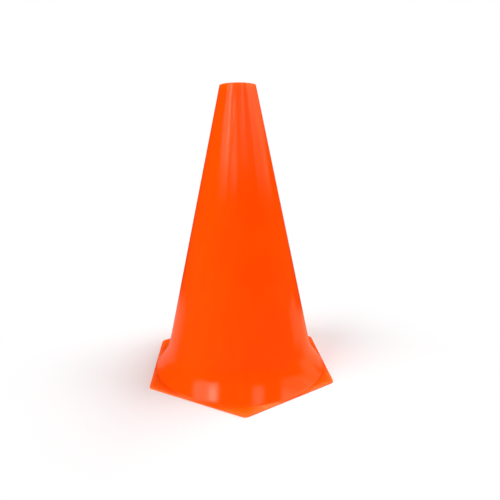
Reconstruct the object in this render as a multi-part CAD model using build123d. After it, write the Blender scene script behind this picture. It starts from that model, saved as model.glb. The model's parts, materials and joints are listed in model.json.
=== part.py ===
from build123d import *
import math
import os

# A sports marker cone: a hollow tapered cone on a thin hexagonal base, moulded in soft orange plastic.
# Millimetres, +Z up. The origin is on the floor at the cone's axis. One corner of the base points to -Y.
# The moulding has one wall thickness from the base to the mouth. It is built as its four moulded
# features, each a closed solid that meets the next face to face: base flange, flared foot, cone body
# and mouth ring.

# Driving sizes
CONE_HEIGHT = 230.0  # floor to the top of the mouth
WALL_THICKNESS = 1.2  # measured square to the surface, the same all over
BODY_BASE_DIAMETER = 130.0  # outside of the straight wall, produced down to the floor
POLE_DIAMETER = 25.0  # training pole that drops into the mouth
POLE_CLEARANCE = 0.5  # on the diameter, between the pole and the mouth
MOUTH_LAND = 5.0  # height of the straight bore at the top of the mouth
MOUTH_LEAD_IN = 3.0  # height of the slope from the body's inner wall up to that bore
LIP_ROUND = 0.4  # rounding of the two edges at the top of the mouth
FLARE_HEIGHT = 24.0  # floor to where the straight wall starts to flare
FLARE_WIDTH = 7.2  # how far the flare ends outside the straight wall, at floor level
FOOT_FILLET = 1.5  # last, tight radius where the flare turns into the flat flange
FLANGE_LAND = 0.8  # flat left between the round foot and the middle of each side of the hexagon
FLANGE_CORNER = 4.0  # radius of the hexagon's corners, in plan
FLANGE_EDGE_ROUND = 0.4  # rounding of the flange's upper edge
FLANGE_SIDES = 6

# Sizes that follow from them
BORE_RADIUS = (POLE_DIAMETER + POLE_CLEARANCE) / 2
MOUTH_RADIUS = BORE_RADIUS + WALL_THICKNESS
BODY_BASE_RADIUS = BODY_BASE_DIAMETER / 2
TAPER = math.atan2(BODY_BASE_RADIUS - MOUTH_RADIUS, CONE_HEIGHT)
MOUTH_RING_BOTTOM = CONE_HEIGHT - MOUTH_LAND - MOUTH_LEAD_IN
FOOT_RADIUS = BODY_BASE_RADIUS + FLARE_WIDTH
FLANGE_APOTHEM = FOOT_RADIUS + FLANGE_LAND


def outer_radius(height):
    """Outside of the straight wall at a height above the floor."""
    return BODY_BASE_RADIUS - height * math.tan(TAPER)


def inner_radius(height):
    """Inside of the straight wall at a height above the floor."""
    return outer_radius(height) - WALL_THICKNESS / math.cos(TAPER)


def turned(outline):
    """A closed outline of radius and height, turned once round the cone's axis."""
    return revolve(Plane.XZ * outline, axis=Axis.Z)


def flare_arcs():
    """The flare's two arcs, each as its centre, outer radius, and start and end angle in degrees.

    The first arc leaves the straight wall along the wall. The second one, the foot fillet, carries on
    from it and runs out flat on top of the flange. Both centres lie outside the cone, so the inner skin
    has the same centres with the wall thickness added to the radii.
    """
    wall_normal = Vector(math.cos(TAPER), math.sin(TAPER))
    start = Vector(outer_radius(FLARE_HEIGHT), FLARE_HEIGHT)
    fillet_centre = Vector(FOOT_RADIUS, WALL_THICKNESS + FOOT_FILLET)
    # The two circles touch from within: their centres are the difference of their radii apart.
    reach = start - fillet_centre
    flare_radius = (FOOT_FILLET**2 - reach.dot(reach)) / (2 * (reach.dot(wall_normal) + FOOT_FILLET))
    flare_centre = start + wall_normal * flare_radius
    towards = fillet_centre - flare_centre
    start_angle = 180 + math.degrees(TAPER)
    meeting_angle = math.degrees(math.atan2(towards.Y, towards.X)) % 360
    flat_angle = 270
    return (
        (flare_centre, flare_radius, start_angle, meeting_angle),
        (fillet_centre, FOOT_FILLET, meeting_angle, flat_angle),
    )


def flare_skin(offset):
    """The flare's arcs from the straight wall down to the flange, moved inwards by an offset."""
    return [
        CenterArc(centre, radius + offset, start, end - start)
        for centre, radius, start, end in flare_arcs()
    ]


def make_mouth_ring():
    """Top of the cone: the straight bore that takes a pole, with a rounded lip."""
    outline = make_face(
        Polyline(
            (outer_radius(MOUTH_RING_BOTTOM), MOUTH_RING_BOTTOM),
            (MOUTH_RADIUS, CONE_HEIGHT),
            (BORE_RADIUS, CONE_HEIGHT),
            (BORE_RADIUS, CONE_HEIGHT - MOUTH_LAND),
            (inner_radius(MOUTH_RING_BOTTOM), MOUTH_RING_BOTTOM),
            close=True,
        )
    )
    lip = outline.vertices().group_by(Axis.Y)[-1]
    return turned(fillet(lip, LIP_ROUND))


def make_cone_body():
    """The long tapered wall, from the top of the flare to the bottom of the mouth ring."""
    outline = make_face(
        Polyline(
            (outer_radius(FLARE_HEIGHT), FLARE_HEIGHT),
            (outer_radius(MOUTH_RING_BOTTOM), MOUTH_RING_BOTTOM),
            (inner_radius(MOUTH_RING_BOTTOM), MOUTH_RING_BOTTOM),
            (inner_radius(FLARE_HEIGHT), FLARE_HEIGHT),
            close=True,
        )
    )
    return turned(outline)


def make_flared_foot():
    """The bell-mouthed foot that turns the wall out into the flat flange."""
    outer = flare_skin(0)
    inner = flare_skin(WALL_THICKNESS)
    top_outer = outer[0] @ 0
    top_inner = (inner_radius(FLARE_HEIGHT), FLARE_HEIGHT)
    top_edge = Line(top_outer, top_inner)
    inner_wall = Line(top_inner, inner[0] @ 0)
    rim_edge = Line(inner[-1] @ 1, outer[-1] @ 1)
    return turned(make_face([*outer, rim_edge, *inner, inner_wall, top_edge]))


def make_base_flange():
    """The flat hexagonal flange round the foot: the face that the cone stands on."""
    corner_to_front = 180 / FLANGE_SIDES
    hexagon = RegularPolygon(FLANGE_APOTHEM, FLANGE_SIDES, major_radius=False, rotation=corner_to_front)
    rounded = fillet(hexagon.vertices(), FLANGE_CORNER)
    plate = extrude(rounded - Circle(FOOT_RADIUS), WALL_THICKNESS)
    rim = plate.faces().sort_by(Axis.Z)[-1].outer_wire().edges()
    return fillet(rim, FLANGE_EDGE_ROUND)


NODES = {
    "mouth_ring": make_mouth_ring,
    "cone_body": make_cone_body,
    "flared_foot": make_flared_foot,
    "base_flange": make_base_flange,
}

os.makedirs("parts", exist_ok=True)
total_volume = 0
for name, make in NODES.items():
    solid = make()
    total_volume += solid.volume
    export_step(solid, f"parts/{name}.step")
    print(name, "volume", round(solid.volume), "mm3, size", solid.bounding_box().size)
print("flare radius", round(flare_arcs()[0][1], 1), "taper", round(math.degrees(TAPER), 2), "degrees")
print("whole moulding", round(total_volume / 1000, 1), "cm3")
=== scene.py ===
# %% [markdown]
# # A sports marker cone
#
# The real cone is one thin shell of glossy orange plastic: a tapered wall, a flared foot and a flat
# hexagonal base. The solids give every size. This lesson dresses them: it models each part of the shell
# again as a fine, smooth mesh, gives it a moulded plastic finish, and lights it in a small studio.
#
# Everything is in metres, in the solids' own frame: the floor is z = 0 and the cone's axis is the Z axis.
# So nothing has to be fitted afterwards: the first step only loads the solids and keeps their box.

# %% Load the solids
import json
import math

import bpy
from mathutils import Matrix, Vector


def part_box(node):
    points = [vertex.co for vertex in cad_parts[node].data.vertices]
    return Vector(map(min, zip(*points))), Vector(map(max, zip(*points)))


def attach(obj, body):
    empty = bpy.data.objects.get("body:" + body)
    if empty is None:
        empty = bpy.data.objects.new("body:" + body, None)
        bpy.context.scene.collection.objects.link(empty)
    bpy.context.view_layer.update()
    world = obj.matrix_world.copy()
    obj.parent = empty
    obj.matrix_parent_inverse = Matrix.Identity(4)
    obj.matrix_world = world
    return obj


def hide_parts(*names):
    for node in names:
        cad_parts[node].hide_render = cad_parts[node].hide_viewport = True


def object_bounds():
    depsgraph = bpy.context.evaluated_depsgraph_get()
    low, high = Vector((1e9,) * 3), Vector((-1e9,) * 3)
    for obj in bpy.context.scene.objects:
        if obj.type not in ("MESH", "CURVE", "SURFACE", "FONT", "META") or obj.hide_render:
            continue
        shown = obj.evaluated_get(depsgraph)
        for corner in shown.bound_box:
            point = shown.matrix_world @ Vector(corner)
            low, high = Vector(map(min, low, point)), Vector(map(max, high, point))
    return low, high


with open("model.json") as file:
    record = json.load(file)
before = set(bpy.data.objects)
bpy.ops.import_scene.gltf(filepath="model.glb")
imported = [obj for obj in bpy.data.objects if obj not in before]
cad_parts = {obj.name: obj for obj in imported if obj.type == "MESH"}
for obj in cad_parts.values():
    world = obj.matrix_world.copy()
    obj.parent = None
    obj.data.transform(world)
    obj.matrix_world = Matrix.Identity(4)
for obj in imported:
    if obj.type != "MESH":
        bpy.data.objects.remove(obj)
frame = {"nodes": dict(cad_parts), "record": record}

solids_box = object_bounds()
print("solids fill", [tuple(round(c, 4) for c in corner) for corner in solids_box])

# %% [markdown]
# ## Sizes
#
# A modeller measures the thing before drawing it. Here the solids are the thing, so the sizes are read
# off their points: radii by how far a node's points lie from the axis at one height, heights from the
# nodes' boxes. The bore for a pole is a stated mount, so the record gives it. Only the small roundings
# are written down, each where it is first used, because a mesh of triangles doesn't say what radius it
# was rounded with.

# %% Read the sizes
HAIR = 0.00001


def radius_at(node, height):
    """How far a node's points reach from the axis at one height."""
    points = [v.co for v in frame["nodes"][node].data.vertices]
    return max(math.hypot(p.x, p.y) for p in points if abs(p.z - height) < HAIR)


TOP = solids_box[1].z
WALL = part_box("base_flange")[1].z
FLARE_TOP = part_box("flared_foot")[1].z
RING_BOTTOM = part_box("mouth_ring")[0].z
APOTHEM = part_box("base_flange")[1].x
CORNER_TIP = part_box("base_flange")[1].y
FOOT_RADIUS = radius_at("flared_foot", WALL)
WALL_FOOT_RADIUS = radius_at("cone_body", FLARE_TOP)
WALL_TOP_RADIUS = radius_at("cone_body", RING_BOTTOM)
TAPER = math.atan2(WALL_FOOT_RADIUS - WALL_TOP_RADIUS, RING_BOTTOM - FLARE_TOP)
print("height", round(TOP, 4), "wall", round(WALL, 5), "taper", round(math.degrees(TAPER), 2), "degrees")

# %% Lines of the wall
MM_PER_METRE = 1000
LIP_ROUND = 0.0004

pole_mouth = next(m for m in frame["record"]["mounts"] if m["name"] == "pole_mouth")
BORE_RADIUS = pole_mouth["dims"]["r_mm"] / MM_PER_METRE
LAND = pole_mouth["dims"]["length_mm"] / MM_PER_METRE + LIP_ROUND


def outer_radius(height):
    """Outside of the straight wall at a height."""
    return WALL_FOOT_RADIUS - (height - FLARE_TOP) * math.tan(TAPER)


def inner_radius(height):
    """Inside of the straight wall at a height."""
    return outer_radius(height) - WALL / math.cos(TAPER)


print("mouth", round(outer_radius(TOP), 5), "outside", round(BORE_RADIUS, 5), "bore")

# %% [markdown]
# ## Turning a profile
#
# Three parts of the shell are round, so they are made as on a lathe: draw half of the cross-section, then
# spin it once about the axis. A cone primitive with a Solidify modifier would be quicker, but it leaves
# the wall's ends slanted and the lip square. Drawing the whole cross-section gives the true wall, the
# rounded lip and the flat ends in one go.
#
# By hand, the outline starts as a single point, which is a plane merged at its centre, and is extruded
# from corner to corner. Spin can leave the faces inside out, so the doubles are merged and the normals
# recalculated afterwards.

# %% Points of an outline
MERGE_DISTANCE = 0.000002


def arc(centre, radius, start, end, steps):
    """Points of (radius, height) along an arc, from one angle to another."""
    angles = [start + (end - start) * i / steps for i in range(steps + 1)]
    return [(centre[0] + radius * math.cos(a), centre[1] + radius * math.sin(a)) for a in angles]


def straight(start, end, steps):
    """Points of (radius, height) along a straight stretch."""
    return [tuple(a + (b - a) * i / steps for a, b in zip(start, end)) for i in range(steps + 1)]


def without_repeats(points):
    """The outline without points that fall on the one before."""
    kept = [points[0]]
    for point in points[1:]:
        if math.dist(point, kept[-1]) > MERGE_DISTANCE:
            kept.append(point)
    return kept


print("a straight stretch in two steps:", straight((0, 0), (1, 2), 2))

# %% The lathe
TURN_STEPS = 240
SMOOTH_ANGLE = math.radians(35)


def clear_selection():
    """Nothing selected, so that the next operator works on its own piece alone."""
    bpy.ops.object.select_all(action="DESELECT")


def turn(name, outline):
    """Extrude a point along a closed outline, then spin it once round the axis into a closed shell."""
    corners = without_repeats([*outline, outline[0]])
    clear_selection()
    bpy.ops.mesh.primitive_plane_add(size=WALL, location=(corners[0][0], 0, corners[0][1]))
    piece = bpy.context.object
    piece.name = piece.data.name = name
    bpy.ops.object.transform_apply(location=True)
    bpy.ops.object.mode_set(mode="EDIT")
    bpy.ops.mesh.select_all(action="SELECT")
    bpy.ops.mesh.merge(type="CENTER")
    for here, there in zip(corners, corners[1:]):
        step = (there[0] - here[0], 0, there[1] - here[1])
        bpy.ops.mesh.extrude_vertices_move(TRANSFORM_OT_translate={"value": step})
    bpy.ops.mesh.select_all(action="SELECT")
    bpy.ops.mesh.spin(steps=TURN_STEPS, angle=2 * math.pi, center=(0, 0, 0), axis=(0, 0, 1))
    bpy.ops.mesh.select_all(action="SELECT")
    bpy.ops.mesh.remove_doubles(threshold=MERGE_DISTANCE)
    bpy.ops.mesh.normals_make_consistent(inside=False)
    bpy.ops.object.mode_set(mode="OBJECT")
    bpy.ops.object.shade_smooth_by_angle(angle=SMOOTH_ANGLE)
    print(name, len(piece.data.vertices), "points", len(piece.data.polygons), "faces")
    return piece


print("the lathe makes", TURN_STEPS, "steps a turn")

# %% [markdown]
# ## The cone's wall
#
# The long tapered wall is a sloping strip of one thickness. Its cross-section has just four corners, but
# the two long sides get many rows, so that the faces stay nearly square and the shading stays even. The
# ends are level, where the wall meets the foot below it and the mouth above it.

# %% Turn the wall
WALL_ROWS = 48

wall_outline = [
    *straight((outer_radius(FLARE_TOP), FLARE_TOP), (outer_radius(RING_BOTTOM), RING_BOTTOM), WALL_ROWS),
    *straight((inner_radius(RING_BOTTOM), RING_BOTTOM), (inner_radius(FLARE_TOP), FLARE_TOP), WALL_ROWS),
]
cone_wall = turn("cone_wall", wall_outline)

# %% [markdown]
# ## The mouth
#
# At the top the wall ends in a short straight bore that takes a training pole, with a sloped lead-in
# under it. The two edges of the lip are rounded: a sharp edge would show as a hard line, while the
# rounding catches a thin line of light, as on the real one. Each rounding is an arc in the outline, which
# costs only a few points. The outer arc turns from the sloping wall to the level top, so its centre lies
# one radius inside both of them.

# %% Turn the mouth
ROUND_STEPS = 6
RING_ROWS = 4

outer_lip = (outer_radius(TOP - LIP_ROUND) - LIP_ROUND / math.cos(TAPER), TOP - LIP_ROUND)
inner_lip = (BORE_RADIUS + LIP_ROUND, TOP - LIP_ROUND)
outer_lip_arc = arc(outer_lip, LIP_ROUND, TAPER, math.pi / 2, ROUND_STEPS)
mouth_outline = [
    *straight((outer_radius(RING_BOTTOM), RING_BOTTOM), outer_lip_arc[0], RING_ROWS),
    *outer_lip_arc,
    *arc(inner_lip, LIP_ROUND, math.pi / 2, math.pi, ROUND_STEPS),
    *straight((BORE_RADIUS, TOP - LIP_ROUND), (BORE_RADIUS, TOP - LAND), RING_ROWS),
    (inner_radius(RING_BOTTOM), RING_BOTTOM),
]
mouth = turn("mouth_lip", mouth_outline)

# %% [markdown]
# ## The flared foot
#
# At the bottom the wall curls out like the bell of a trumpet: a large arc, then a tight fillet that runs
# out flat on the base. Two circles that touch from within have their centres the difference of their
# radii apart, and that gives the large radius. Both arcs have their centres outside the cone, so the
# inner skin is the same pair of arcs, each with the wall's thickness added to its radius.
#
# The real foot also bulges a little where it turns out. That hardly shows in its outline, but it bends
# the reflections. So the outer skin is moved outwards by about half a millimetre low down, and by less
# further up. A bump in the finish could tilt the reflections too, but a shape belongs in the mesh.

# %% Arcs of the foot
FOOT_FILLET = 0.0015

flare_start = Vector((outer_radius(FLARE_TOP), FLARE_TOP))
fillet_centre = Vector((FOOT_RADIUS, WALL + FOOT_FILLET))
wall_normal = Vector((math.cos(TAPER), math.sin(TAPER)))
reach = flare_start - fillet_centre
flare_radius = (FOOT_FILLET**2 - reach.dot(reach)) / (2 * (reach.dot(wall_normal) + FOOT_FILLET))
flare_centre = flare_start + wall_normal * flare_radius
towards_fillet = fillet_centre - flare_centre
meeting_angle = math.atan2(towards_fillet.y, towards_fillet.x) % (2 * math.pi)
print("flare radius", round(flare_radius, 4), "until", round(math.degrees(meeting_angle), 1), "degrees")

# %% Turn the foot
FLARE_STEPS = 32
FILLET_STEPS = 10
BULGE = 0.00055
BULGE_HEIGHT = (0.005, 0.018)


def flare_skin(offset):
    """Both arcs of the flare, from the wall down to the base, moved inwards by an offset."""
    return [
        *arc(flare_centre, flare_radius + offset, math.pi + TAPER, meeting_angle, FLARE_STEPS),
        *arc(fillet_centre, FOOT_FILLET + offset, meeting_angle, 1.5 * math.pi, FILLET_STEPS),
    ]


def bulge_at(height):
    """How far the outer skin bulges at a height: fully low down, and by a smooth step less higher up."""
    low, high = BULGE_HEIGHT
    share = min(max((high - height) / (high - low), 0), 1)
    return BULGE * share * share * (3 - 2 * share)


outer_skin = [(radius + bulge_at(height), height) for radius, height in flare_skin(0)]
inner_top = (inner_radius(FLARE_TOP), FLARE_TOP)
foot = turn("foot_flare", [*outer_skin, *reversed(flare_skin(WALL)), inner_top])

# %% [markdown]
# ## The hexagonal base
#
# The base is a flat plate with six rounded corners and a round hole, where the foot grows out of it. It
# starts as a circle of six points, which is a hexagon with a corner to the front. Bevelling its points
# rounds the corners. The straight sides are then cut until the outline has as many points as the foot's
# circle, so that Bridge can join the two rings with clean quads. Extruding the plate down gives its
# thickness, and a last bevel rounds its upper edge.

# %% Outline of the base
SIDES = 6
CORNER_STEPS = 12

half_corner = math.pi / SIDES
circumradius = APOTHEM / math.cos(half_corner)
corner_round = (circumradius - CORNER_TIP) / (1 / math.cos(half_corner) - 1)
side_cuts = TURN_STEPS // SIDES - CORNER_STEPS - 1


def narrow_selection(piece, wanted):
    """In edit mode, keep only those selected edges whose two end points pass a test."""
    bpy.ops.mesh.select_mode(type="EDGE")
    bpy.ops.object.mode_set(mode="OBJECT")
    points = piece.data.vertices
    for edge in piece.data.edges:
        edge.select = edge.select and wanted(*(points[i].co for i in edge.vertices))
    bpy.ops.object.mode_set(mode="EDIT")


clear_selection()
bpy.ops.mesh.primitive_circle_add(
    vertices=SIDES, radius=circumradius, fill_type="NGON", location=(0, 0, WALL)
)
base = bpy.context.object
base.name = base.data.name = "hexagonal_base"
bpy.ops.object.transform_apply(location=True)
bpy.ops.object.mode_set(mode="EDIT")
bpy.ops.mesh.select_all(action="SELECT")
bpy.ops.mesh.bevel(
    offset=corner_round * math.tan(half_corner), segments=CORNER_STEPS, affect="VERTICES"
)
bpy.ops.mesh.select_all(action="SELECT")
bpy.ops.mesh.delete(type="ONLY_FACE")
bpy.ops.mesh.select_all(action="SELECT")
narrow_selection(base, lambda a, b: (a - b).length > corner_round)
bpy.ops.mesh.subdivide(number_cuts=side_cuts)
print("corners rounded", round(corner_round, 4), "in", CORNER_STEPS, "steps,", side_cuts, "cuts a side")

# %% Plate of the base
BRIDGE_CUTS = 4
EDGE_ROUND = 0.0004
EDGE_STEPS = 3


def on_upper_rim(a, b):
    """True for an edge on the top of the plate that lies outside the foot's circle."""
    return min(a.z, b.z) > WALL - HAIR and min(a.xy.length, b.xy.length) > FOOT_RADIUS + HAIR


bpy.ops.mesh.primitive_circle_add(vertices=TURN_STEPS, radius=FOOT_RADIUS, location=(0, 0, WALL))
bpy.ops.mesh.select_all(action="SELECT")
bpy.ops.mesh.bridge_edge_loops(number_cuts=BRIDGE_CUTS, interpolation="LINEAR")
bpy.ops.mesh.select_all(action="SELECT")
bpy.ops.mesh.extrude_region_move(TRANSFORM_OT_translate={"value": (0, 0, -WALL)})
bpy.ops.mesh.select_all(action="SELECT")
bpy.ops.mesh.normals_make_consistent(inside=False)
bpy.ops.mesh.select_all(action="DESELECT")
bpy.ops.mesh.edges_select_sharp(sharpness=SMOOTH_ANGLE)
narrow_selection(base, on_upper_rim)
bpy.ops.mesh.bevel(offset=EDGE_ROUND, segments=EDGE_STEPS, affect="EDGES")
bpy.ops.object.mode_set(mode="OBJECT")
bpy.ops.object.shade_smooth_by_angle(angle=SMOOTH_ANGLE)
print("hexagonal_base", len(base.data.vertices), "points", len(base.data.polygons), "faces")

# %% [markdown]
# ## Shader sums in Python
#
# A finish is a sum of small effects, and a sum is easier to read as a line of Python than as a web of
# boxes. This class wraps one socket of a shader node. Adding or multiplying two of them adds a Math node
# and gives back its output. Every other kind of node comes from one method, which sets the node up before
# it fills in the sockets.


# %% A socket that can be calculated with
class Shade:
    """A shader socket in a Python expression. Each operator adds a Math node."""

    def __init__(self, tree, socket=None):
        self.tree = tree
        self.socket = socket

    def make(self, kind, settings=None, sockets=None, output=0):
        """Add a node, set it up, fill in or link its sockets, and give one of its outputs."""
        node = self.tree.nodes.new(kind)
        for name, value in (settings or {}).items():
            setattr(node, name, value)
        for name, value in (sockets or {}).items():
            if isinstance(value, Shade):
                self.tree.links.new(value.socket, node.inputs[name])
            else:
                node.inputs[name].default_value = value
        return Shade(self.tree, node.outputs[output])

    def beside(self, output):
        """Another output of the same node."""
        return Shade(self.tree, self.socket.node.outputs[output])

    def math(self, operation, *values):
        """A Math node on one or two values."""
        return self.make("ShaderNodeMath", {"operation": operation}, dict(enumerate(values)))

    def vector(self, operation, *values, output=0):
        """A Vector Math node on one or two vectors."""
        return self.make("ShaderNodeVectorMath", {"operation": operation}, dict(enumerate(values)), output)

    def along(self, direction):
        """How far this vector reaches along a direction."""
        return self.vector("DOT_PRODUCT", self, direction, output="Value")

    def length(self):
        """How long this vector is."""
        return self.vector("LENGTH", self, output="Value")

    def larger(self, other):
        """The larger of two values."""
        return self.math("MAXIMUM", self, other)

    def fade(self, low, high):
        """Rises smoothly from 0 to 1 as this value goes from low to high."""
        limits = {"Value": self, "From Min": low, "From Max": high}
        return self.make("ShaderNodeMapRange", {"interpolation_type": "SMOOTHSTEP"}, limits)

    def between(self, low, high, softness):
        """1 between two limits, with a soft step at each."""
        half = softness / 2
        return self.fade(low - half, low + half) * (1 - self.fade(high - half, high + half))

    def blend(self, none, full):
        """A colour that goes from one to another as this value goes from 0 to 1."""
        return self.make("ShaderNodeMix", {"data_type": "RGBA"}, {0: self, 6: none, 7: full}, 2)

    def __add__(self, other):
        return self.math("ADD", self, other)

    def __sub__(self, other):
        return self.math("SUBTRACT", self, other)

    def __rsub__(self, other):
        return self.math("SUBTRACT", other, self)

    def __mul__(self, other):
        return self.math("MULTIPLY", self, other)

    __radd__ = __add__
    __rmul__ = __mul__


print("a socket knows", ", ".join(name for name in vars(Shade) if not name.startswith("_")))

# %% [markdown]
# ## The orange plastic
#
# The cone is moulded from soft, bright orange plastic that is coloured all through. Up close it isn't one
# flat colour: the melt runs along the wall as the mould fills, which leaves faint lengthwise streaks in
# colour and shine. A thin wall also cools unevenly, so its surface has low swells and shallow dents. They
# can't be seen by themselves, but they keep a reflection from being ruler-straight. The thin base and lip
# are painted a little lighter and yellower, as painted light for the light that comes through them. The
# outer rim of the base is painted lighter in the same way, for light through its thin edge. A pale patch
# is painted on the base in front, a little to the right. The rim and the patch are also a little duller,
# and the top is slightly duller than the rest. Use leaves faint scuffs low down.
#
# Painted textures could show all this, but they need unwrapped meshes. Here each effect is a value
# between 0 and 1, worked out from the place on the cone. Streaks have to follow the wall, so their noise
# looks only at the direction from the axis, and hardly at the height.

# %% Where on the cone
RIGHTWARDS = (1, 0, 0)
FORWARDS = (0, -1, 0)
UPWARDS = (0, 0, 1)
LEVEL = (1, 1, 0)

plastic = bpy.data.materials.new("cone_plastic")
plastic.use_nodes = True
kit = Shade(plastic.node_tree)
place = kit.make("ShaderNodeTexCoord", output="Object")
from_axis = kit.vector("MULTIPLY", place, LEVEL)
height = place.along(UPWARDS)
radius = from_axis.length()
direction = kit.vector("NORMALIZE", from_axis)
print("finish", plastic.name, "reads", place.socket.name, "coordinates")

# %% Streaks and clouds
FLOW = {"scale": 7.0, "detail": 3}
FLOW_DRIFT = 6.0
CLOUDS = {"scale": 28.0, "detail": 2}


def noise(where, scale, detail):
    """Smooth noise between 0 and 1."""
    return kit.make("ShaderNodeTexNoise", None, {"Vector": where, "Scale": scale, "Detail": detail})


drift = kit.make("ShaderNodeCombineXYZ", None, {"Z": height * FLOW_DRIFT})
flow_place = kit.vector("ADD", direction, drift)
flow = noise(flow_place, **FLOW)
clouds = noise(place, **CLOUDS)
print("streaks", FLOW, "clouds", CLOUDS)

# %% Scuffs
SCUFFS = {"scale": 900.0, "detail": 1}
SCUFF_STRETCH = (1.0, 0.05, 1.0)
SCUFF_TURNS = (0.4, 1.9)
SCUFF_LEVEL = (0.66, 0.74)
SCUFF_CLOUDS = (0.45, 0.6)
SCUFF_TOP = 0.03


def scuff_lines(scuff_turn):
    """Thin lines in one direction: stretched and turned noise, of which only the peaks are left."""
    turned = {"Vector": place, "Rotation": (scuff_turn,) * 3, "Scale": SCUFF_STRETCH}
    return noise(kit.make("ShaderNodeMapping", None, turned), **SCUFFS).fade(*SCUFF_LEVEL)


one_way, other_way = (scuff_lines(scuff_turn) for scuff_turn in SCUFF_TURNS)
scuffs = one_way.larger(other_way) * clouds.fade(*SCUFF_CLOUDS) * (1 - height.fade(0.0, SCUFF_TOP))
print("scuffs run in", len(SCUFF_TURNS), "directions, up to", SCUFF_TOP)

# %% Painted light at the rim, and a pale patch on the base
RIM_WIDTH = 0.005
RIM_CLOUDS = (0.25, 0.65)
RIM_GLOW_SHARE = 0.7
PATCH_ANGLES = (math.radians(7), math.radians(24))
PATCH_SOFTNESS = math.radians(12)
PATCH_SHARE = 0.85

sideways = place.along(RIGHTWARDS)
forwards = place.along(FORWARDS)
breadth = kit.math("ABSOLUTE", sideways)
depth = kit.math("ABSOLUTE", forwards)
across_flats = breadth.larger(breadth * math.sin(half_corner) + depth * math.cos(half_corner))
on_base = 1 - height.fade(WALL, 2 * WALL)
# Painted light: the outer rim of the base is painted lighter, for light that comes through its thin edge.
rim = across_flats.fade(APOTHEM - RIM_WIDTH, APOTHEM) * clouds.fade(*RIM_CLOUDS)
# A paler patch on the base in front, a little to the right of the middle.
patch_side = kit.math("ARCTAN2", sideways, forwards).between(*PATCH_ANGLES, PATCH_SOFTNESS)
pale_patch = patch_side * radius.fade(FOOT_RADIUS, APOTHEM)
# One mask holds the rim's painted light and the pale patch; it lightens the colour and dulls the shine.
rim_glow_and_patch = (rim * RIM_GLOW_SHARE).larger(pale_patch * PATCH_SHARE) * on_base
print("rim worn", RIM_WIDTH, "wide, rubbed from", *(round(math.degrees(a)) for a in PATCH_ANGLES), "degrees")

# %% Colour
ORANGE = (0.97, 0.055, 0.0003, 1)
PALE_ORANGE = (1.0, 0.065, 0.0003, 1)
GLOW_THROUGH_ORANGE = (1.0, 0.12, 0.003, 1)
SCUFF_AND_GLOW_ORANGE = (1.0, 0.18, 0.05, 1)
PALE_LEVEL = (0.2, 0.8)
GLOW_THROUGH_EDGE = (FOOT_RADIUS - 0.002, FOOT_RADIUS + 0.006)
BASE_GLOW_SHARE = 0.8
LIP_GLOW_SHARE = 0.5
SCUFF_SHARE = 0.2

# Painted light: the base outside the foot and the lip are painted a lighter, yellower orange, for the
# light that comes through the thin plastic.
lip = height.fade(TOP - LAND, TOP - LIP_ROUND)
glow_through = (radius.fade(*GLOW_THROUGH_EDGE) * on_base).larger(lip * LIP_GLOW_SHARE)
orange = ((flow + clouds) * 0.5).fade(*PALE_LEVEL).blend(ORANGE, PALE_ORANGE)
orange = (glow_through * BASE_GLOW_SHARE).blend(orange, GLOW_THROUGH_ORANGE)
# The rim's painted light, the pale patch and the scuffs lighten towards one paler orange.
orange = rim_glow_and_patch.larger(scuffs * SCUFF_SHARE).blend(orange, SCUFF_AND_GLOW_ORANGE)
print("orange", ORANGE[:3], "to", PALE_ORANGE[:3])

# %% Shine
SMOOTHEST = 0.1
FLOW_DULLS = 0.03
CLOUD_DULLS = 0.03
SCUFF_DULLS = 0.08
RIM_AND_PATCH_DULLS = 0.2
TOP_DULLS = 0.07
TOP_PART = (0.15, 0.22)

moulded = SMOOTHEST + flow * FLOW_DULLS + clouds * CLOUD_DULLS + height.fade(*TOP_PART) * TOP_DULLS
roughness = moulded + scuffs * SCUFF_DULLS + rim_glow_and_patch * RIM_AND_PATCH_DULLS
print("roughness from", SMOOTHEST, "up")

# %% Swells and dents
SWELLS = {"scale": 4.0, "detail": 0}
SWELL_START = (6.8, 3.6, 0.0)
SWELL_RISE = (0.01, 0.12)
SWELL_RELIEF = 0.0005
DENTS = {"scale": 90.0, "detail": 1}
DENT_RELIEF = 0.00006
PEEL = {"scale": 1400.0, "detail": 1}
PEEL_RELIEF = 0.0000003

swells = noise(kit.vector("ADD", flow_place, SWELL_START), **SWELLS) * height.fade(*SWELL_RISE)
relief = swells * SWELL_RELIEF + noise(place, **DENTS) * DENT_RELIEF + noise(place, **PEEL) * PEEL_RELIEF
normal = kit.make("ShaderNodeBump", None, {"Strength": 1.0, "Distance": 1.0, "Height": relief}, "Normal")
print("swells up to", SWELL_RELIEF, "dents up to", DENT_RELIEF)

# %% Finish the plastic
PLASTIC_IOR = 1.45

shader = plastic.node_tree.nodes["Principled BSDF"]
for name, value in {"Base Color": orange, "Roughness": roughness, "Normal": normal}.items():
    plastic.node_tree.links.new(value.socket, shader.inputs[name])
shader.inputs["IOR"].default_value = PLASTIC_IOR
print(len(plastic.node_tree.nodes), "nodes in the plastic")

# %% [markdown]
# ## Dressing the solids
#
# Each mesh takes the place of one solid, which stays behind the scenes for the physics. The cone has no
# joints, so everything rides on its one body, and the whole shell is one material.

# %% Put the pieces in place
STANDS_FOR = {cone_wall: "cone_body", mouth: "mouth_ring", foot: "flared_foot", base: "base_flange"}

for piece, node in STANDS_FOR.items():
    piece.data.materials.append(plastic)
    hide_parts(node)
    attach(piece, "root")
    print(piece.name, "stands for", node)

# %% [markdown]
# ## Floor and backdrop
#
# The cone stands on a plain white floor that runs out into a white background. The floor near the cone is
# matt, so it takes the cone's soft shadow. Further out it fades into pure white, so no horizon shows. A
# floor lit to white would do that too, but it would throw too much light on the cone. So the white is
# only for rays that look at it, and rays that carry light find a greyer floor.

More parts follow.
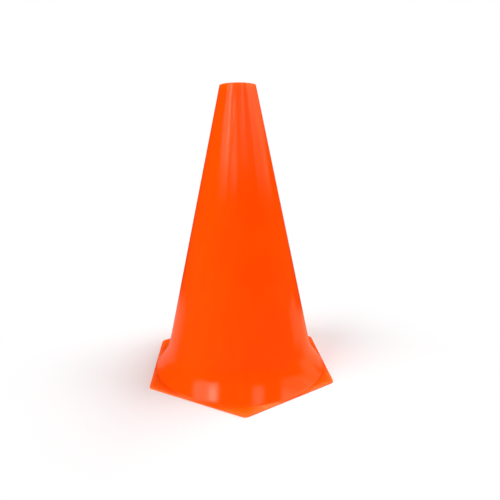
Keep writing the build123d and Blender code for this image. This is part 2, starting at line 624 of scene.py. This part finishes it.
# %% Make the floor
FLOOR_SIZE = 12.0
FLOOR_DROP = 0.0001
FLOOR_SEEN = (0.76, 0.76, 0.76, 1)
FLOOR_LIGHTING = (0.3, 0.3, 0.3, 1)
WHITENS = (0.06, 0.24)
WHITE = (1, 1, 1, 1)


def looked_at(studio_kit):
    """1 for rays that look at the studio, straight, in a mirror or through glass, and otherwise 0."""
    straight_on = studio_kit.make("ShaderNodeLightPath", output="Is Camera Ray")
    mirrored = straight_on.larger(straight_on.beside("Is Glossy Ray"))
    return mirrored.larger(straight_on.beside("Is Transmission Ray"))


def show(material, surface):
    """Make a shader the surface of a material."""
    output = material.node_tree.nodes["Material Output"]
    material.node_tree.links.new(surface.socket, output.inputs["Surface"])


clear_selection()
bpy.ops.mesh.primitive_plane_add(size=FLOOR_SIZE, location=(0, 0, -FLOOR_DROP))
floor = bpy.context.object
floor.name = floor.data.name = "studio_floor"
bpy.ops.object.transform_apply(location=True)
print("floor", FLOOR_SIZE, "wide, white from", WHITENS[1], "outwards")

# %% Paper of the floor
paper = bpy.data.materials.new("white_paper")
paper.use_nodes = True
paper_kit = Shade(paper.node_tree)
matt = paper.node_tree.nodes["Principled BSDF"]
matt.inputs["Roughness"].default_value = 1.0
matt.inputs["Specular IOR Level"].default_value = 0.0
seen = looked_at(paper_kit)
paper.node_tree.links.new(seen.blend(FLOOR_LIGHTING, FLOOR_SEEN).socket, matt.inputs["Base Color"])
far_out = paper_kit.make("ShaderNodeTexCoord", output="Object").length().fade(*WHITENS)
glow = paper_kit.make("ShaderNodeEmission", None, {"Color": WHITE, "Strength": 1.0})
matt_shade = Shade(paper.node_tree, matt.outputs["BSDF"])
show(paper, paper_kit.make("ShaderNodeMixShader", None, {0: far_out * seen, 1: matt_shade, 2: glow}))
floor.data.materials.append(paper)
print(len(paper.node_tree.nodes), "nodes in the paper")

# %% Make the backdrop
world = bpy.data.worlds.new("white_backdrop")
bpy.context.scene.world = world
world.use_nodes = True
backdrop = world.node_tree.nodes["Background"]
backdrop.inputs["Color"].default_value = WHITE
world.node_tree.links.new(looked_at(Shade(world.node_tree)).socket, backdrop.inputs["Strength"])
print("backdrop", world.name)

# %% [markdown]
# ## A dark tent for the reflections
#
# Glossy plastic shows what stands around it, and a white studio would wash the orange out. So a dark tent
# hangs round the cone, with its own floor just above the white one, and what glows on it makes the
# highlights. The tent shows in reflections alone: it hides nothing from the camera and stops no light. It
# could be a box, but on a round tent each place is simply an azimuth and an elevation, as seen from the
# middle of the cone.

# %% Hang the tent
TENT_RADIUS = 5.5
TENT_SEGMENTS = 64
TENT_RINGS = 32
TENT_FLOOR = -FLOOR_DROP / 2


def reflected_only(thing):
    """Let a piece of the studio show in reflections and nowhere else."""
    for kind in ("camera", "diffuse", "shadow", "transmission"):
        setattr(thing, f"visible_{kind}", False)


clear_selection()
bpy.ops.mesh.primitive_uv_sphere_add(segments=TENT_SEGMENTS, ring_count=TENT_RINGS, radius=TENT_RADIUS)
tent = bpy.context.object
tent.name = tent.data.name = "dark_tent"
bpy.ops.object.mode_set(mode="EDIT")
bpy.ops.mesh.select_all(action="SELECT")
bpy.ops.mesh.bisect(plane_co=(0, 0, TENT_FLOOR), plane_no=UPWARDS, use_fill=True, clear_inner=True)
bpy.ops.object.mode_set(mode="OBJECT")
reflected_only(tent)
print("tent", len(tent.data.polygons), "faces")

# %% Angles on the tent
CONE_MIDDLE = (0, 0, 0.1)


def glowing(name):
    """A new material for something that glows in reflections but isn't a lamp."""
    material = bpy.data.materials.new(name)
    material.use_nodes = True
    material.cycles.emission_sampling = "NONE"
    return material


cloth = glowing("tent_cloth")
cloth_kit = Shade(cloth.node_tree)
tent_place = cloth_kit.make("ShaderNodeTexCoord", output="Object")
from_cone = cloth_kit.vector("SUBTRACT", tent_place, CONE_MIDDLE)
tent_right = from_cone.along(RIGHTWARDS)
tent_front = from_cone.along(FORWARDS)
tent_azimuth = cloth_kit.math("ARCTAN2", tent_right, tent_front)
tent_elevation = cloth_kit.math("ARCSINE", cloth_kit.vector("NORMALIZE", from_cone).along(UPWARDS))
print("angles on", cloth.name, "count from", CONE_MIDDLE)

# %% [markdown]
# ## Panes of light
#
# Soft panes on the tent make the pale streaks near the top of the wall and the bright patches on the
# foot. Area lamps could stand for them, but their edges are hard and even. On the tent, a pane is a
# product of soft steps in azimuth and elevation, which are easy to read off as angles seen from the cone.
# One of them is slanted: it sinks towards the right.


# %% Light the panes
def pane(azimuths, elevations, radiance, softness, slant=0.0):
    """A glowing pane, given in degrees. Azimuth counts from the camera's side towards the right.

    With a slant, the pane sinks by so many degrees for each degree to the right.
    """
    left, right, bottom, top, soft = (math.radians(v) for v in (*azimuths, *elevations, softness))
    raised = tent_elevation + (tent_azimuth - left) * slant
    return tent_azimuth.between(left, right, soft) * raised.between(bottom, top, soft) * radiance


PANES = {
    "left, bright": pane((-46, -37), (28, 42), radiance=2.8, softness=3),
    "left, near": pane((-50, -34), (21.5, 42), radiance=3.2, softness=8),
    "left, far": pane((-70, -50), (19.5, 42), radiance=1.8, softness=7),
    "narrow": pane((17, 31), (27, 60), radiance=1.6, softness=6),
    "right, low": pane((59, 108), (17.5, 70), radiance=0.66, softness=5, slant=0.16),
    "right, side": pane((95, 145), (12, 50), radiance=0.5, softness=6),
    "right, high": pane((57, 112), (28, 44), radiance=1.1, softness=6),
}
print(len(PANES), "panes of light:", "; ".join(PANES))

# %% [markdown]
# ## Mats beside the cone
#
# Low on the wall, the two edges are paler than the front, because they mirror a pale ground beside and
# behind the cone. A pale ground all round would do that too, but it would also lighten the front and the
# foot. So two pale mats lie on the tent's floor, one on each side. Each starts at a line that runs from
# the cone's edge outwards and backwards, which is given as an angle, and ends a little way behind the
# cone.

# %% Lay the mats
BACKWARDS = (0, 1, 0)
MAT_GLOW = 0.32
MAT_END = (0.3, 0.6)
EDGE_ASIDE = 0.065
EDGE_FORWARD = 0.012
LEFT_START = (math.radians(10), math.radians(35))
RIGHT_START = (math.radians(0), math.radians(25))
LEFT_BACK = (0.12, 0.28)
RIGHT_BACK = (0.09, 0.16)
FLOOR_LAYER = 0.01

tent_back = from_cone.along(BACKWARDS)
tent_aside = cloth_kit.math("ABSOLUTE", tent_right)
past_edge = cloth_kit.math("ARCTAN2", tent_back + EDGE_FORWARD, tent_aside - EDGE_ASIDE)
at_right = tent_right.fade(-HAIR, HAIR)
left_mat = past_edge.fade(*LEFT_START) * (1 - tent_back.fade(*LEFT_BACK)) * (1 - at_right)
right_mat = past_edge.fade(*RIGHT_START) * (1 - tent_back.fade(*RIGHT_BACK)) * at_right
on_floor = 1 - tent_place.along(UPWARDS).fade(0.0, FLOOR_LAYER)
around_foot = tent_place.length().fade(FOOT_RADIUS, APOTHEM)
mats = (left_mat + right_mat) * (1 - tent_aside.fade(*MAT_END)) * around_foot * on_floor
print("mats reach", MAT_END[1], "to each side")

# %% Make the tent glow
WARM_WHITE = (1, 1, 0.77, 1)
CREAM = (1, 1, 0.6, 1)
TURNS_CREAM = (math.radians(40), math.radians(70))
CLOTH_GLOW = 0.01

tent_glow = sum(PANES.values(), mats * MAT_GLOW + CLOTH_GLOW)
tint = tent_azimuth.fade(*TURNS_CREAM).blend(WARM_WHITE, CREAM)
show(cloth, cloth_kit.make("ShaderNodeEmission", None, {"Color": tint, "Strength": tent_glow}))
tent.data.materials.append(cloth)
print(len(cloth.node_tree.nodes), "nodes in the tent's cloth")

# %% [markdown]
# ## A low card at the right
#
# On the right side of the foot, the pale edge of the wall and the light band on the foot run into each
# other. One more pane on the tent could lighten the gap between them, but the upper wall would mirror it
# too. A small card that stands close by on the floor is mirrored by the foot alone, because the wall
# looks over it.

# %% Stand the card
CARD_ASIDE = 0.19
CARD_REACH = (-0.025, 0.055)
CARD_HEIGHT = 0.045
CARD_GLOW = 0.4

clear_selection()
card_middle = (CARD_ASIDE, sum(CARD_REACH) / 2, CARD_HEIGHT / 2)
bpy.ops.mesh.primitive_plane_add(size=1, location=card_middle, rotation=(0, -math.pi / 2, 0))
card = bpy.context.object
card.name = card.data.name = "low_card"
card.scale = (CARD_HEIGHT, CARD_REACH[1] - CARD_REACH[0], 1)
bpy.ops.object.transform_apply(location=True, rotation=True, scale=True)
paint = glowing("card_paint")
paint_kit = Shade(paint.node_tree)
show(paint, paint_kit.make("ShaderNodeEmission", None, {"Color": CREAM, "Strength": CARD_GLOW}))
card.data.materials.append(paint)
reflected_only(card)
print("card", CARD_HEIGHT, "high, standing", CARD_ASIDE, "to the right")

# %% [markdown]
# ## A gauze high in front
#
# Near the mouth the wall is hazy, and its streaks are brighter than further down. A far pane that
# lightens the mouth would light the front of the foot as well, because both mirror the same direction. A
# thing close by is seen in another direction from each of them. So a see-through gauze hangs in a ring
# above the cone, with strips of it glowing, and the panes behind it still show.

# %% Hang the gauze
GAUZE_RADIUS = 0.25
GAUZE_HEIGHT = (0.22, 0.5)
GAUZE_FACETS = 96

clear_selection()
bpy.ops.mesh.primitive_cylinder_add(
    vertices=GAUZE_FACETS,
    radius=GAUZE_RADIUS,
    depth=GAUZE_HEIGHT[1] - GAUZE_HEIGHT[0],
    end_fill_type="NOTHING",
    location=(0, 0, sum(GAUZE_HEIGHT) / 2),
)
gauze = bpy.context.object
gauze.name = gauze.data.name = "front_gauze"
bpy.ops.object.transform_apply(location=True)
reflected_only(gauze)
print("gauze", len(gauze.data.polygons), "faces")

# %% Light strips of the gauze
thread = glowing("gauze_thread")
thread_kit = Shade(thread.node_tree)
gauze_place = thread_kit.make("ShaderNodeTexCoord", output="Object")
gauze_azimuth = thread_kit.math("ARCTAN2", gauze_place.along(RIGHTWARDS), gauze_place.along(FORWARDS))
gauze_up = gauze_place.along(UPWARDS)


def strip(azimuths, heights, radiance, softness, fading):
    """A glowing strip, soft by so many degrees at its sides and by so many metres at its ends."""
    left, right, soft = (math.radians(v) for v in (*azimuths, softness))
    return gauze_azimuth.between(left, right, soft) * gauze_up.between(*heights, fading) * radiance


STRIPS = {
    "haze": strip((-36, 62), (0.27, 0.46), radiance=0.38, softness=16, fading=0.08),
    "left of the middle": strip((-23, -10), (0.24, 0.34), radiance=1.2, softness=8, fading=0.05),
    "left, high": strip((-42, -22), (0.33, 0.46), radiance=0.5, softness=10, fading=0.06),
    "narrow, high": strip((18, 32), (0.34, 0.46), radiance=0.7, softness=8, fading=0.06),
    "right, high": strip((58, 90), (0.28, 0.46), radiance=0.6, softness=10, fading=0.06),
}
lit_thread = {"Color": WARM_WHITE, "Strength": sum(STRIPS.values())}
glowing_thread = thread_kit.make("ShaderNodeEmission", None, lit_thread)
see_through = thread_kit.make("ShaderNodeBsdfTransparent")
show(thread, thread_kit.make("ShaderNodeAddShader", None, {0: glowing_thread, 1: see_through}))
gauze.data.materials.append(thread)
print(len(STRIPS), "strips of the gauze glow:", "; ".join(STRIPS))

# %% [markdown]
# ## Light
#
# The shading comes from three large soft lights: one from the left, one from the right and one from
# behind on the right. They stand rather low, so the wall is bright and the base is dimmer where the cone
# stands in the way. Area lamps would fall off with distance, while suns with a wide angle are even over
# the whole cone. Together they light the front of the wall at about 0.9, so that the orange renders
# nearly as it is written.


# %% Place the lights
def soft_light(name, azimuth, elevation, spread, level):
    """An even light from one side, with azimuth counted as for the panes. It makes no reflection."""
    az, el = math.radians(azimuth), math.radians(elevation)
    way = Vector((math.sin(az) * math.cos(el), -math.cos(az) * math.cos(el), math.sin(el)))
    bpy.ops.object.light_add(type="SUN", rotation=way.to_track_quat("Z", "Y").to_euler())
    lamp = bpy.context.object
    lamp.name = lamp.data.name = name
    lamp.data.angle = math.radians(spread)
    lamp.data.energy = level * math.pi
    lamp.data.cycles.use_multiple_importance_sampling = False
    lamp.visible_glossy = False
    print(name, "lights the front of the wall at", round(level * max(0, way.dot(FORWARDS)), 2))


soft_light("left_light", azimuth=-66, elevation=20, spread=60, level=1.5)
soft_light("right_light", azimuth=57, elevation=32, spread=80, level=0.68)
soft_light("back_light", azimuth=118, elevation=24, spread=80, level=1.35)

# %% [markdown]
# ## Camera
#
# The photograph looks slightly down at the cone from close by, with the front corner of the base turned a
# little to the right. The camera's place is given as seen from the cone, and the small sideways shift
# puts the cone left of the middle, as it is framed there.

# %% Set up the camera
CAMERA_ASIDE = -0.0007
CAMERA_DISTANCE = 0.3445
CAMERA_HEIGHT = 0.1817
CAMERA_TURN = math.radians(-2.63)
CAMERA_PITCH = math.radians(-13.27)
CAMERA_ROLL = math.radians(-0.44)
SENSOR_WIDTH = 36.0
LENS = 30.53
SHIFT_X = 0.024
NEAREST = 0.01

swing = Matrix.Rotation(CAMERA_TURN, 4, "Z")
tilt = Matrix.Rotation(math.pi / 2 + CAMERA_PITCH, 4, "X") @ Matrix.Rotation(CAMERA_ROLL, 4, "Z")
stand = swing @ Vector((CAMERA_ASIDE, -CAMERA_DISTANCE, CAMERA_HEIGHT))
bpy.ops.object.camera_add(location=stand, rotation=(swing @ tilt).to_euler())
camera = bpy.context.object
camera.name = camera.data.name = "photo_camera"
camera.data.sensor_width = SENSOR_WIDTH
camera.data.lens = LENS
camera.data.shift_x = SHIFT_X
camera.data.clip_start = NEAREST
bpy.context.scene.camera = camera
bpy.context.scene.view_settings.view_transform = "Standard"
print("camera at", tuple(round(c, 3) for c in stand), "with a lens of", LENS, "mm")

# %% [markdown]
# ## The box to keep
#
# The dressed cone has to fill the same box as the solids, because others will place it by that box.
